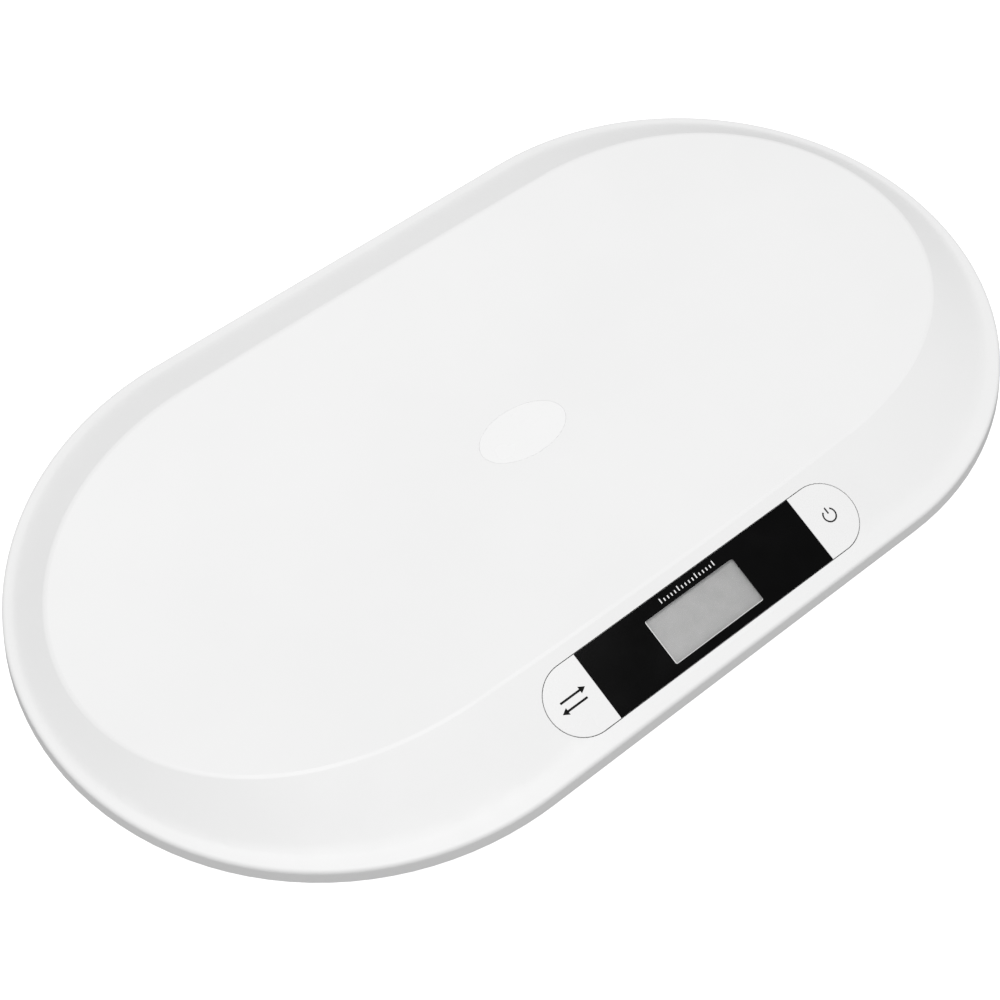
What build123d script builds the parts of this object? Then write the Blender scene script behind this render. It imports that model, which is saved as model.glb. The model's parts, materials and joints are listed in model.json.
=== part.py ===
from build123d import *
from math import cos, pi, radians, sin, sqrt, tan
import os

# Digital baby weighing scale, in millimetres.
# X runs along the tray, Y from the display side (-Y) to the far side, Z is up.
# The origin is on the floor, under the middle of the tray.

# ---- tray outline -------------------------------------------------------------
skirt_half_length = 275.0
skirt_half_width = 160.0
skirt_bottom_z = 8.5
skirt_flare = 1.3
rim_z = 16.3
rim_round = 2.0
crest_round = 4.0
rim_half_length = skirt_half_length - skirt_flare
rim_half_width = skirt_half_width - skirt_flare
straight_half = 115.0
wall = 2.5

# ---- sloping border between the rim and the crest of the dish ------------------
end_band = 26.85
front_band = 49.75
back_band = 33.8
straight_growth = 1.4
slope_tilt = 20.0
slope_mid_y = -132.4
slope_mid_rise = 6.1
lip_softness = 1.0
border_steps = (0, 0.05, 0.1, 0.15, 0.2, 0.25, 0.3, 0.4, 0.5, 0.6, 0.7, 0.8, 0.9, 1.0, 1.1, 1.2)

# ---- dish the baby lies in ------------------------------------------------------
dish_rise = 7.2
dish_y = 8.0
dish_radius_long = 9700.0
dish_radius_short = 920.0
dish_sweep = 3.8
badge_length = 50.0
badge_width = 30.0
badge_depth = 0.6
badge_gap = 0.08

# ---- console: display and two keys on the front slope ----------------------------
console_x = 1.2
console_sink = 0.15
console_length = 189.5
console_height = 35.9
console_gap = 0.4
console_clear = 6.0
bed_top = 1.0
bed_bottom = 4.6
bed_margin = 3.0
bed_cut = bed_bottom + 3.0
bezel_length = 134.3
bezel_thick = 1.7
window_length, window_height = 55.4, 24.4
window_x, window_y = -2.4, -1.4
window_corner = 1.0
glass_length, glass_height, glass_y = 61.0, 31.2, -0.6
glass_top, glass_bottom = 1.95, 4.35
frame_opening_length, frame_opening_height = 52.0, 21.0
strip_length, strip_width, strip_offset = 52.0, 1.8, 13.2
strip_slack = 0.4
strip_places = [(window_x, glass_y - strip_offset), (window_x, glass_y + strip_offset)]
board_length, board_height = 176.0, 27.0
board_top, board_bottom = 7.0, 8.6
board_screw_x, board_screw_y = 50.0, 10.0
board_screw_places = [(x * board_screw_x, y * board_screw_y) for x in (-1, 1) for y in (-1, 1)]
board_screw_radius, board_head_radius, board_head_height = 1.1, 2.1, 1.5
board_boss_radius, board_boss_bore = 3.0, 1.15
board_boss_floor = 2.9
socket_length, socket_width, socket_depth, socket_y = 26.0, 5.0, 3.6, 9.0
chip_radius, chip_height, chip_place = 7.0, 1.3, (-20, 1)
crystal_length, crystal_width, crystal_height, crystal_place = 10.0, 3.6, 2.2, (-2, -5)
capacitor_radius, capacitor_height, capacitor_x, capacitor_y = 2.0, 3.0, (30, 36), 3
resistor_length, resistor_width, resistor_height = 2.0, 1.2, 0.6
resistor_x, resistor_y = (-30, -26, -22, 14, 18, 22), -8

# ---- keys and their switches -------------------------------------------------------
key_x = 80.5
key_thick = 1.8
key_floor = 3.0
key_joint = 0.15
key_edge_round = 0.2
press_radius, press_bottom, press_hole = 2.5, 2.9, 11.0
switch_top, switch_size, switch_bore = 3.6, 6.0, 1.8
plunger_radius, plunger_bottom = 1.7, 4.9
leg_y = 12.0
leg_length, leg_thick = 3.4, 1.6
leg_hole_length, leg_hole_width = 4.2, 2.4
hook_top, hook_thick, hook_reach = 4.85, 1.4, 1.5
leg_bottom = 5.8

# ---- ribs and screw bosses under the tray ------------------------------------------
rib_thick, rib_bottom_z = 1.8, 17.8
cross_rib_x = (-215, -165, -110, -55, 55, 110, 165, 215)
cross_rib_front, cross_rib_back = -96.0, 118.0
long_rib_y = (-60, 8)
long_rib_reach = 240.0
boss_radius, boss_bore, boss_bore_top_z = 4.0, 1.5, 17.0
over_all_z = 40.0

# ---- base, feet and load cells ------------------------------------------------------
base_bottom_z = 5.0
base_top_z = 7.5
base_inset = 7.5
base_lip_z, base_lip = 10.0, 2.0
screw_places = [(x * sx, y * sy) for x, y in ((125, 128), (232, 50)) for sx in (-1, 1) for sy in (-1, 1)]
screw_radius, screw_hole_radius, screw_top_z = 1.45, 1.7, 16.5
head_radius, head_hole_radius, head_seat_z = 2.8, 3.1, 6.4
head_recess = 0.1
cross_length, cross_width, cross_depth = 3.2, 0.7, 0.7
foot_x, foot_y = 185.0, 88.0
corners = {
    "front_left": (-foot_x, -foot_y),
    "front_right": (foot_x, -foot_y),
    "back_left": (-foot_x, foot_y),
    "back_right": (foot_x, foot_y),
}
foot_radius, foot_edge_round = 19.0, 1.2
foot_bottom_z, foot_top_z = 0.8, 4.4
pad_radius, pad_top_z = 16.0, 1.8
pad_edge, pad_gap = 0.3, 0.2
stem_radius, stem_top_z = 4.5, 9.1
flange_radius, flange_bottom_z = 7.0, 8.0
foot_hole_radius = 6.0
cell_size, cell_opening = 34.0, 24.0
cell_bottom_z, cell_top_z = 9.6, 11.6
tongue_width, tongue_front, tongue_back = 14.0, -8.0, 12.0
gauge_width, gauge_front, gauge_back, gauge_thick = 7.0, 7.0, 14.0, 0.9
holder_size, holder_opening, holder_slack = 46.0, 26.0, 0.2
clamp_opening, clamp_back_opening = 14.0, 14.5
clamp_top_z = 12.9
clamp_screw_x, clamp_screw_radius, clamp_bore, clamp_hole = 20.0, 0.9, 0.95, 1.2
clamp_screw_bottom_z = base_bottom_z + 1.2
clamp_bore_z = base_bottom_z + 0.8
clamp_head_radius, clamp_head_height = 1.9, 1.2

# ---- battery bay -----------------------------------------------------------------------
bay_y = 75.3
bay_length, bay_width = 51.0, 44.6
bay_wall = 1.5
bay_roof_z = 17.8
ledge_z = 6.95
door_length, door_width = 55.0, 50.0
door_top_z = 6.8
door_side_gap, door_gap = 0.3, 0.2
scoop_radius, scoop_length, scoop_inset, scoop_drop = 8.0, 16.0, 6.0, 7.2
catch_length, catch_thick, catch_gap, catch_top_z = 12.0, 0.7, 0.2, 9.0
hinge_y, hinge_z = 50.0, 5.9
hinge_radius = 0.9
pin_radius, pin_reach = 0.6, 1.5
pin_hole_radius, pin_hole_reach = 0.65, 1.8
battery_radius, battery_length, battery_edge = 5.25, 43.7, 0.5
button_radius, button_length = 1.9, 0.8
battery_z = 12.2
battery_pitch = 11.1
plate_thick, plate_gap = 0.33, 0.02
plate_front_x = bay_length / 2 - plate_gap - plate_thick
plate_half_width, plate_bottom_z, plate_top_z = 4.5, 8.2, 16.6
spring_length, spring_pitch, spring_radius, spring_wire = 4.9, 1.1, 2.6, 0.25
spring_gap = 0.4

# ---- leads inside the base -----------------------------------------------------------
lead_radius = 0.8
lead_z = base_top_z + lead_radius + 0.1
socket_drop = 3.8
front_lane, back_lane, lane_lean = 8.5, 3.5, 1.5


def border_height(u):
    """Height above the rim of the border; u is 0 at the rim and 1 at the crest."""
    y = -rim_half_width + u * front_band
    line = slope_mid_rise + (y - slope_mid_y) * tan(radians(slope_tilt))
    return (line + sqrt(line**2 + lip_softness**2)) / 2


def border_outline(u, inset, z):
    """Level line of the border: two straight sides joined by half ellipses."""
    front = -rim_half_width + u * front_band + inset
    back = rim_half_width - u * back_band - inset
    middle, half_width = (front + back) / 2, (back - front) / 2
    half_length = rim_half_length - u * end_band - inset
    cap = max(half_length - straight_half - u * straight_growth, half_width)
    straight = half_length - cap
    with BuildLine(Plane.XY.offset(z)) as outline:
        Line((-straight, front), (straight, front))
        EllipticalCenterArc((straight, middle), cap, half_width, -90, arc_size=180)
        Line((straight, back), (-straight, back))
        EllipticalCenterArc((-straight, middle), cap, half_width, 90, arc_size=180)
    return outline.wire()


def tray_block(inset, drop, bottom):
    """Solid under the skirt and border surfaces, moved in by inset and down by drop."""
    flare = skirt_flare * (rim_z - bottom) / (rim_z - skirt_bottom_z)
    rim = border_outline(0, inset, rim_z - drop)
    skirt = Solid.make_loft([border_outline(0, inset - flare, bottom), rim], ruled=True)
    levels = [(u, rim_z - drop + border_height(u) - border_height(0)) for u in border_steps]
    border = Solid.make_loft([border_outline(u, inset, z) for u, z in levels])
    return skirt + border


def above_dish(drop):
    """Space over the dish: a slice over a shallow arc, swung about a far axis along Y."""
    floor = rim_z + dish_rise - drop
    reach = 190.0
    side = floor + dish_radius_short - sqrt(dish_radius_short**2 - reach**2)
    top = 90.0
    with BuildSketch(Plane.YZ) as slice_face:
        with BuildLine():
            ThreePointArc((dish_y - reach, side), (dish_y, floor), (dish_y + reach, side))
            back, front = dish_y + reach, dish_y - reach
            Polyline((back, side), (back, top), (front, top), (front, side))
        make_face()
    axle = Axis((0, 0, floor + dish_radius_long), (0, 1, 0))
    start = slice_face.sketch.face().rotate(axle, -dish_sweep / 2)
    return revolve(start, axle, dish_sweep)


console = Plane(
    origin=(console_x, slope_mid_y, rim_z + slope_mid_rise + console_sink),
    x_dir=(1, 0, 0),
    z_dir=(0, -sin(radians(slope_tilt)), cos(radians(slope_tilt))),
)


def sunk(shape, top, bottom, x=0.0, y=0.0):
    """A flat shape given a depth range below the console's face."""
    return console.location * Pos(x, y, -bottom) * extrude(shape, bottom - top)


def sunk_box(length, height, top, bottom, x=0.0, y=0.0):
    return sunk(Rectangle(length, height), top, bottom, x, y)


def sunk_rod(radius, top, bottom, x=0.0, y=0.0):
    return sunk(Circle(radius), top, bottom, x, y)


def box_between(low, high):
    middle = [(a + b) / 2 for a, b in zip(low, high)]
    return Pos(*middle) * Box(*[b - a for a, b in zip(low, high)])


def square_at(x, y, size, low, high):
    half = size / 2
    return box_between((x - half, y - half, low), (x + half, y + half, high))


def rod(radius, x, y, low, high):
    return Pos(x, y, (low + high) / 2) * Cylinder(radius, high - low)


def rod_x(radius, y, z, low, high):
    return Pos((low + high) / 2, y, z) * Rot(0, 90, 0) * Cylinder(radius, high - low)


def badge_prism(gap):
    return Pos(0, 0, rim_z) * extrude(Ellipse(badge_length / 2 + gap, badge_width / 2 + gap), 20)


def key_outline(side, gap):
    """End of the console's stadium outside the bezel, as a flat D shape."""
    stadium = SlotOverall(console_length + 2 * gap, console_height + 2 * gap)
    inner = bezel_length / 2 + key_joint - gap
    reach = console_length
    return stadium & (Pos(side * (inner + reach / 2), 0) * Rectangle(reach, reach))


def make_tray():
    outer = tray_block(0, 0, skirt_bottom_z)
    rim_edges = [
        edge
        for edge in outer.edges()
        if abs(edge.center().Z - rim_z) < 0.01 and edge.length > 2 * straight_half - 1
    ]
    outer = fillet(rim_edges, rim_round) - above_dish(0)
    crest = [edge for edge in outer.edges() if edge.bounding_box().min.Z > rim_z + dish_rise]
    outer = fillet(crest, crest_round)
    inside = tray_block(wall, wall, skirt_bottom_z - 1) - above_dish(wall)
    tray = outer - inside
    half = rib_thick / 2
    for x in cross_rib_x:
        low, high = (x - half, cross_rib_front, rib_bottom_z), (x + half, cross_rib_back, over_all_z)
        tray += box_between(low, high) & inside
    for y in long_rib_y:
        low, high = (-long_rib_reach, y - half, rib_bottom_z), (long_rib_reach, y + half, over_all_z)
        tray += box_between(low, high) & inside
    for x, y in screw_places:
        tray += rod(boss_radius, x, y, base_top_z, over_all_z) & inside
    bed = SlotOverall(console_length + 2 * bed_margin, console_height + 2 * bed_margin)
    tray += sunk(bed, bed_top, bed_bottom)
    for x, y in board_screw_places:
        tray += sunk_rod(board_boss_radius, bed_bottom - 1, board_top, x, y)
        tray -= sunk_rod(board_boss_bore, board_boss_floor, board_top + 1, x, y)
    for x, y in screw_places:
        tray -= rod(boss_bore, x, y, 0, boss_bore_top_z)
    recess = SlotOverall(console_length + 2 * console_gap, console_height + 2 * console_gap)
    tray -= sunk(recess, -console_clear, bezel_thick)
    tray -= sunk_box(glass_length + 3, glass_height + 1.8, -console_clear, bed_cut, window_x, glass_y)
    for side in (-1, 1):
        tray -= sunk(key_outline(side, console_gap), -console_clear, key_floor)
        tray -= sunk_box(press_hole, press_hole, 0, bed_cut, side * key_x)
        for y in (-leg_y, leg_y):
            tray -= sunk_box(leg_hole_length, leg_hole_width, 0, bed_cut, side * key_x, y)
    return tray - (badge_prism(badge_gap) & above_dish(badge_depth))


def make_badge():
    return badge_prism(0) & (above_dish(badge_depth) - above_dish(0))


def make_key(side):
    """Key cap with a press stem and two hooked legs that keep it in the tray."""
    key = sunk(key_outline(side, 0), 0, key_thick)
    key = fillet(key.faces().sort_by(Axis(console.origin, console.z_dir))[-1].edges(), key_edge_round)
    key += sunk_rod(press_radius, key_thick, press_bottom, side * key_x)
    for way in (-1, 1):
        key += sunk_box(leg_length, leg_thick, key_thick, leg_bottom, side * key_x, way * leg_y)
        hook_y = way * (leg_y + hook_reach)
        key += sunk_box(leg_length, hook_thick, hook_top, leg_bottom, side * key_x, hook_y)
    return key


def make_switch(side):
    body = sunk_box(switch_size, switch_size, switch_top, board_top, side * key_x)
    return body - sunk_rod(switch_bore, switch_top - 1, switch_top + 2, side * key_x)


def make_plunger(side):
    return sunk_rod(plunger_radius, press_bottom, plunger_bottom, side * key_x)


def make_bezel():
    opening = RectangleRounded(window_length, window_height, window_corner)
    return sunk_box(bezel_length, console_height, 0, bezel_thick) - sunk(
        opening, -1, bezel_thick + 1, window_x, window_y
    )


def make_window():
    pane = RectangleRounded(window_length, window_height, window_corner)
    return sunk(pane, 0, bezel_thick, window_x, window_y)


def make_glass():
    return sunk_box(glass_length, glass_height, glass_top, glass_bottom, window_x, glass_y)


def make_display_frame():
    frame = sunk_box(glass_length + 2, glass_height + 0.8, glass_bottom, board_top, window_x, glass_y)
    top, bottom = glass_bottom - 1, board_top + 1
    frame -= sunk_box(frame_opening_length, frame_opening_height, top, bottom, window_x, glass_y)
    for x, y in strip_places:
        frame -= sunk_box(strip_length + strip_slack, strip_width + strip_slack, top, bottom, x, y)
    return frame


def make_contact_strips():
    return [sunk_box(strip_length, strip_width, glass_bottom, board_top, x, y) for x, y in strip_places]


def make_board():
    board = sunk_box(board_length, board_height, board_top, board_bottom)
    for x, y in board_screw_places:
        board -= sunk_rod(board_screw_radius + 0.2, board_top - 1, board_bottom + 1, x, y)
    return board


def make_board_screws():
    screws = []
    for x, y in board_screw_places:
        shank = sunk_rod(board_screw_radius, board_boss_floor + 0.4, board_bottom, x, y)
        head = sunk_rod(board_head_radius, board_bottom, board_bottom + board_head_height, x, y)
        screws.append(shank + head)
    return screws


def make_board_parts():
    """Chip under its resin drop, crystal, capacitors and small resistors."""
    top = board_bottom
    chip = sunk_rod(chip_radius, top, top + chip_height, *chip_place)
    crystal = sunk_box(crystal_length, crystal_width, top, top + crystal_height, *crystal_place)
    capacitors = [sunk_rod(capacitor_radius, top, top + capacitor_height, x, capacitor_y) for x in capacitor_x]
    resistors = [
        sunk_box(resistor_length, resistor_width, top, top + resistor_height, x, resistor_y) for x in resistor_x
    ]
    return [chip, crystal] + capacitors + resistors


def socket_place(x):
    """Point on the underside of the lead socket, in the scale's own frame."""
    return console.location * Pos(x - console_x, socket_y, -board_bottom - socket_depth)


def make_lead_socket():
    return sunk_box(socket_length, socket_width, board_bottom, board_bottom + socket_depth, 0, socket_y)


def make_base():
    radius = skirt_half_width - base_inset

    def pan(inset):
        return SlotOverall(2 * (skirt_half_length - base_inset - inset), 2 * (radius - inset))

    base = Pos(0, 0, base_bottom_z) * extrude(pan(0), base_lip_z - base_bottom_z)
    base -= Pos(0, 0, base_top_z) * extrude(pan(base_lip), base_lip_z)
    half_x, half_y = bay_length / 2, bay_width / 2
    base += box_between(
        (-half_x - bay_wall, bay_y - half_y - bay_wall, base_top_z - 1),
        (half_x + bay_wall, bay_y + half_y + bay_wall, bay_roof_z + bay_wall),
    )
    base -= box_between((-half_x, bay_y - half_y, 0), (half_x, bay_y + half_y, bay_roof_z))
    base -= box_between(
        (-door_length / 2 - door_side_gap, hinge_y - hinge_radius - door_gap, 0),
        (door_length / 2 + door_side_gap, hinge_y + door_width + door_gap, ledge_z),
    )
    pin_hole_end = door_length / 2 + pin_hole_reach
    base -= rod_x(pin_hole_radius, hinge_y, hinge_z, -pin_hole_end, pin_hole_end)
    for x, y in screw_places:
        base -= rod(screw_hole_radius, x, y, 0, base_lip_z)
        base -= rod(head_hole_radius, x, y, 0, head_seat_z)
    for x, y in corners.values():
        base -= rod(foot_hole_radius, x, y, 0, base_lip_z)
        for side in (-1, 1):
            base -= rod(clamp_bore, x + side * clamp_screw_x, y, clamp_bore_z, base_lip_z)
    return base


def make_base_screws():
    screws = []
    for x, y in screw_places:
        head = rod(head_radius, x, y, base_bottom_z + head_recess, head_seat_z)
        head -= Pos(x, y, base_bottom_z) * Box(cross_length, cross_width, 2 * cross_depth)
        head -= Pos(x, y, base_bottom_z) * Box(cross_width, cross_length, 2 * cross_depth)
        screws.append(head + rod(screw_radius, x, y, head_seat_z, screw_top_z))
    return screws


def make_foot(x, y):
    """Foot disc with a pocket for its pad and a flanged stem under the load cell."""
    foot = rod(foot_radius, x, y, foot_bottom_z, foot_top_z)
    foot = fillet(foot.edges().filter_by(GeomType.CIRCLE).group_by(Axis.Z)[-1], foot_edge_round)
    foot -= rod(pad_radius + pad_gap, x, y, 0, pad_top_z)
    foot += rod(stem_radius, x, y, foot_top_z - 0.5, stem_top_z)
    return foot + rod(flange_radius, x, y, flange_bottom_z, stem_top_z)


def make_pad(x, y):
    pad = rod(pad_radius, x, y, 0, pad_top_z)
    return chamfer(pad.edges().filter_by(GeomType.CIRCLE).group_by(Axis.Z)[0], pad_edge)


def make_cell(x, y):
    """Stamped steel load cell: a square frame with a sprung tongue in the middle."""
    low, high = cell_bottom_z, cell_top_z
    cell = square_at(x, y, cell_size, low, high) - square_at(x, y, cell_opening, low - 1, high + 1)
    half = tongue_width / 2
    return cell + box_between((x - half, y + tongue_front, low), (x + half, y + tongue_back, high))


def make_gauge(x, y):
    half = gauge_width / 2
    low, high = cell_top_z, cell_top_z + gauge_thick
    return box_between((x - half, y + gauge_front, low), (x + half, y + gauge_back, high))


def make_holder(x, y):
    holder = square_at(x, y, holder_size, base_top_z, cell_top_z)
    holder -= square_at(x, y, cell_size + 2 * holder_slack, cell_bottom_z, over_all_z)
    holder -= square_at(x, y, holder_opening, 0, over_all_z)
    for side in (-1, 1):
        holder -= rod(clamp_hole, x + side * clamp_screw_x, y, 0, over_all_z)
    return holder


def make_clamp(x, y):
    clamp = square_at(x, y, holder_size, cell_top_z, clamp_top_z)
    half = clamp_opening
    clamp -= box_between((x - half, y - half, 0), (x + half, y + clamp_back_opening, over_all_z))
    for side in (-1, 1):
        clamp -= rod(clamp_hole, x + side * clamp_screw_x, y, 0, over_all_z)
    return clamp


def make_clamp_screws():
    screws = []
    for x, y in corners.values():
        for screw_x in (x - clamp_screw_x, x + clamp_screw_x):
            shank = rod(clamp_screw_radius, screw_x, y, clamp_screw_bottom_z, clamp_top_z)
            head = rod(clamp_head_radius, screw_x, y, clamp_top_z, clamp_top_z + clamp_head_height)
            screws.append(shank + head)
    return screws


def battery_places():
    """Y place of each battery and the side its positive end faces."""
    return [(bay_y + (k - 1.5) * battery_pitch, 1 if k % 2 else -1) for k in range(4)]


def make_battery(y, side):
    back_end = plate_front_x - spring_length - spring_gap
    middle = side * (battery_length / 2 - back_end)
    can = rod_x(battery_radius, y, battery_z, middle - battery_length / 2, middle + battery_length / 2)
    can = fillet(can.edges().filter_by(GeomType.CIRCLE), battery_edge)
    tip = middle + side * battery_length / 2
    low, high = sorted((tip, tip + side * button_length))
    return can + rod_x(button_radius, y, battery_z, low, high)


def make_contact_plates():
    plates = []
    for y, _ in battery_places():
        for side in (-1, 1):
            low, high = sorted((side * (bay_length / 2 - plate_gap), side * plate_front_x))
            front, back = y - plate_half_width, y + plate_half_width
            plates.append(box_between((low, front, plate_bottom_z), (high, back, plate_top_z)))
    return plates


def make_springs():
    """One coil behind the flat end of each battery."""
    springs = []
    rise = spring_length - 2 * spring_wire
    for y, side in battery_places():
        start = (-side * (plate_front_x - spring_wire), y, battery_z)
        turn = Helix(spring_pitch, rise, spring_radius, center=start, direction=(side, 0, 0))
        section = Plane(turn @ 0, z_dir=turn % 0) * Circle(spring_wire)
        springs.append(sweep(section, path=turn, is_frenet=True))
    return springs


def make_door():
    """Bay door: plate, rounded hinge edge with two stub pins, a catch and a thumb scoop."""
    half, far_edge = door_length / 2, hinge_y + door_width
    door = box_between((-half, hinge_y, base_bottom_z), (half, far_edge, door_top_z))
    door += rod_x(hinge_radius, hinge_y, hinge_z, -half, half)
    door += rod_x(pin_radius, hinge_y, hinge_z, -half - pin_reach, half + pin_reach)
    catch_half, catch_back = catch_length / 2, bay_y + bay_width / 2 - catch_gap
    catch_front = catch_back - catch_thick
    door += box_between((-catch_half, catch_front, base_bottom_z + 1), (catch_half, catch_back, catch_top_z))
    scoop_y, scoop_z = far_edge - scoop_inset, base_bottom_z - scoop_drop
    return door - rod_x(scoop_radius, scoop_y, scoop_z, -scoop_length / 2, scoop_length / 2)


def make_lead(points):
    """Round lead through the points, each corner rounded as far as its runs allow."""
    points = [Vector(*p) for p in points]
    radii = []
    for before, corner, after in zip(points, points[1:], points[2:]):
        run_in, run_out = corner - before, after - corner
        turn = radians(run_in.get_angle(run_out))
        radii.append(0.45 * min(run_in.length, run_out.length) / tan(turn / 2))
    path = FilletPolyline(*points, radius=radii)
    section = Plane(path @ 0, z_dir=path % 0) * Circle(lead_radius)
    lead = sweep(section, path=path)
    ratio = lead.volume / (pi * lead_radius**2 * path.length)
    print(f"lead length {path.length:.0f}, smallest radius {min(radii):.1f}, volume ratio {ratio:.4f}")
    return lead


def cell_lead(name):
    x, y = corners[name]
    way = 1 if x > 0 else -1
    lane = front_lane if y < 0 else back_lane
    start = socket_place(way * lane).position
    below = start - console.z_dir * socket_drop
    points = [start, below, (way * (lane + lane_lean), start.Y + 12, lead_z + 0.4)]
    if y < 0:
        points += [(way * (lane + 30), start.Y + 26, lead_z), (x - way * 60, y + 3, lead_z)]
    else:
        points += [(way * (lane + 22), start.Y + 48, lead_z), (way * 70, -8, lead_z)]
        points.append((x - way * 62, y - 30, lead_z))
    end_x = x - way * (holder_size / 2)
    return points + [(end_x - way * 14, y - 4, lead_z), (end_x - way * 0.1, y - 2, lead_z)]


def battery_lead():
    start = socket_place(0).position
    below = start - console.z_dir * socket_drop
    end_y = bay_y - bay_width / 2 - bay_wall - 0.1
    points = [start, below, (1.0, start.Y + 12, lead_z + 0.4), (-3, start.Y + 45, lead_z)]
    points += [(4, start.Y + 85, lead_z), (-2, 2, lead_z), (-6, end_y - 16, lead_z)]
    return points + [(-5.5, end_y, lead_z)]


pieces = {
    "tray_top": make_tray(),
    "centre_badge": make_badge(),
    "display_bezel": make_bezel(),
    "display_window": make_window(),
    "lcd_glass": make_glass(),
    "display_frame": make_display_frame(),
    "contact_strips": make_contact_strips(),
    "main_board": make_board(),
    "board_parts": make_board_parts(),
    "lead_socket": make_lead_socket(),
    "board_screws": make_board_screws(),
    "base_cover": make_base(),
    "base_screws": make_base_screws(),
    "clamp_screws": make_clamp_screws(),
    "battery_door": make_door(),
    "battery_plates": make_contact_plates(),
    "battery_springs": make_springs(),
    "battery_lead": make_lead(battery_lead()),
}
for key_name, key_side in (("unit", -1), ("power", 1)):
    pieces[f"{key_name}_key"] = make_key(key_side)
    pieces[f"{key_name}_plunger"] = make_plunger(key_side)
    pieces[f"{key_name}_switch"] = make_switch(key_side)
for number, (battery_y, battery_side) in enumerate(battery_places(), 1):
    pieces[f"battery_{number}"] = make_battery(battery_y, battery_side)
for corner_name, (corner_x, corner_y) in corners.items():
    pieces[f"foot_{corner_name}"] = make_foot(corner_x, corner_y)
    pieces[f"foot_pad_{corner_name}"] = make_pad(corner_x, corner_y)
    pieces[f"load_cell_{corner_name}"] = make_cell(corner_x, corner_y)
    pieces[f"strain_gauge_{corner_name}"] = make_gauge(corner_x, corner_y)
    pieces[f"cell_holder_{corner_name}"] = make_holder(corner_x, corner_y)
    pieces[f"cell_clamp_{corner_name}"] = make_clamp(corner_x, corner_y)
    pieces[f"cell_lead_{corner_name}"] = make_lead(cell_lead(corner_name))

os.makedirs("parts", exist_ok=True)
for name, shape in pieces.items():
    solids = shape if isinstance(shape, list) else [shape]
    solids = [solid for item in solids for solid in item.solids()]
    export_step(solids[0] if len(solids) == 1 else Compound(solids), f"parts/{name}.step")
print(len(pieces), "nodes")
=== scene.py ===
# %% [markdown]
# # A digital baby scale, from bare plastic to a studio picture
# The real object is a white moulded tray on four load cells, with a display console on its front slope.
# Its solids are already modelled at their real size. This script gives every surface its finish, adds
# the small pieces that solids leave out, and sets a soft studio around it.
# Everything is in metres. X runs along the tray, -Y is the display side and Z is up.

import json
from math import atan2, cos, pi, radians, sin

import bmesh
import bpy
from mathutils import Matrix, Vector


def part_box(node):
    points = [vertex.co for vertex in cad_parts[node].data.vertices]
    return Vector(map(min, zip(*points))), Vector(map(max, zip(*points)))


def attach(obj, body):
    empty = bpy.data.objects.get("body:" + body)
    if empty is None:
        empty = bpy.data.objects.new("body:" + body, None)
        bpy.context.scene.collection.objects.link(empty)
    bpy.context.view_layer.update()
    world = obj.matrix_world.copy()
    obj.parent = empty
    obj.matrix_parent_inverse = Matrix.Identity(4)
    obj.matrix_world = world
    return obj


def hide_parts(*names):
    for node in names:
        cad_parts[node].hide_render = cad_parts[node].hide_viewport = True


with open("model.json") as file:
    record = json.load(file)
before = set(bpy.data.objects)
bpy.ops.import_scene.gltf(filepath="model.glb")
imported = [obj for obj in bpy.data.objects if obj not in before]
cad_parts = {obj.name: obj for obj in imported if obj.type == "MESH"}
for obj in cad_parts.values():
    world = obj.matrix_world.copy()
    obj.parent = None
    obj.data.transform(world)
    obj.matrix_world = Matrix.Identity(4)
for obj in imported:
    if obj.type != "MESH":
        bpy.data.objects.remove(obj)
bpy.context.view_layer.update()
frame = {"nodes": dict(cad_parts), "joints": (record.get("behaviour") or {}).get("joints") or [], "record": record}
nodes = frame["nodes"]
mm = 0.001

# %% [markdown]
# ## Where things are
# A piece that sits on the tilted console needs the console's own axes. They could be typed in, but the
# frame already knows them: the keys press straight into the console, so the press direction gives its
# tilt, and a tilted box's true size follows from the height and depth of its bounding box.

# %% The console's axes
press = next(joint for joint in frame["joints"] if joint["name"] == "unit_key_press")
console_out = -Vector(press["axis"]).normalized()
tilt = atan2(-console_out.y, console_out.z)
console_up = Vector((0, cos(tilt), sin(tilt)))
print("console tilt", round(tilt * 180 / pi, 1), "degrees")


def middle_of(node):
    low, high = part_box(node)
    return (low + high) / 2


def tilted_size(node):
    """Length, height and depth of a box that lies along the console."""
    low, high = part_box(node)
    length, deep, tall = high - low
    turn = cos(tilt) ** 2 - sin(tilt) ** 2
    height = (deep * cos(tilt) - tall * sin(tilt)) / turn
    depth = (tall * cos(tilt) - deep * sin(tilt)) / turn
    return Vector((length, height, depth))


def on_console(place):
    """Matrix that lays a flat piece on the console with its origin at that place."""
    right = Vector((1, 0, 0))
    turn = Matrix((right, console_up, console_out)).transposed().to_4x4()
    return Matrix.Translation(place) @ turn


panel_size = tilted_size("display_bezel")
panel_top = middle_of("display_bezel") + console_out * panel_size.z / 2
print("panel", [round(side / mm, 2) for side in panel_size], "mm")

# %% [markdown]
# ## The camera
# The camera stands off the left front corner and looks down on the tray from about 55 degrees.
# Blender could aim it with a constraint, but a matrix made from three directions shows what a camera
# is: it looks along its own -Z, with its own +Y up, and a small roll turns the picture in its plane.

# %% Camera
camera_azimuth, camera_elevation, camera_roll = radians(-38.58), radians(54.61), radians(-0.89)
camera_distance = 0.9059
camera_target = Vector((-0.0319, -0.021, 0.0163))
camera_lens, camera_sensor, nearest_seen = 66.77, 36.0, 0.01

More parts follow.
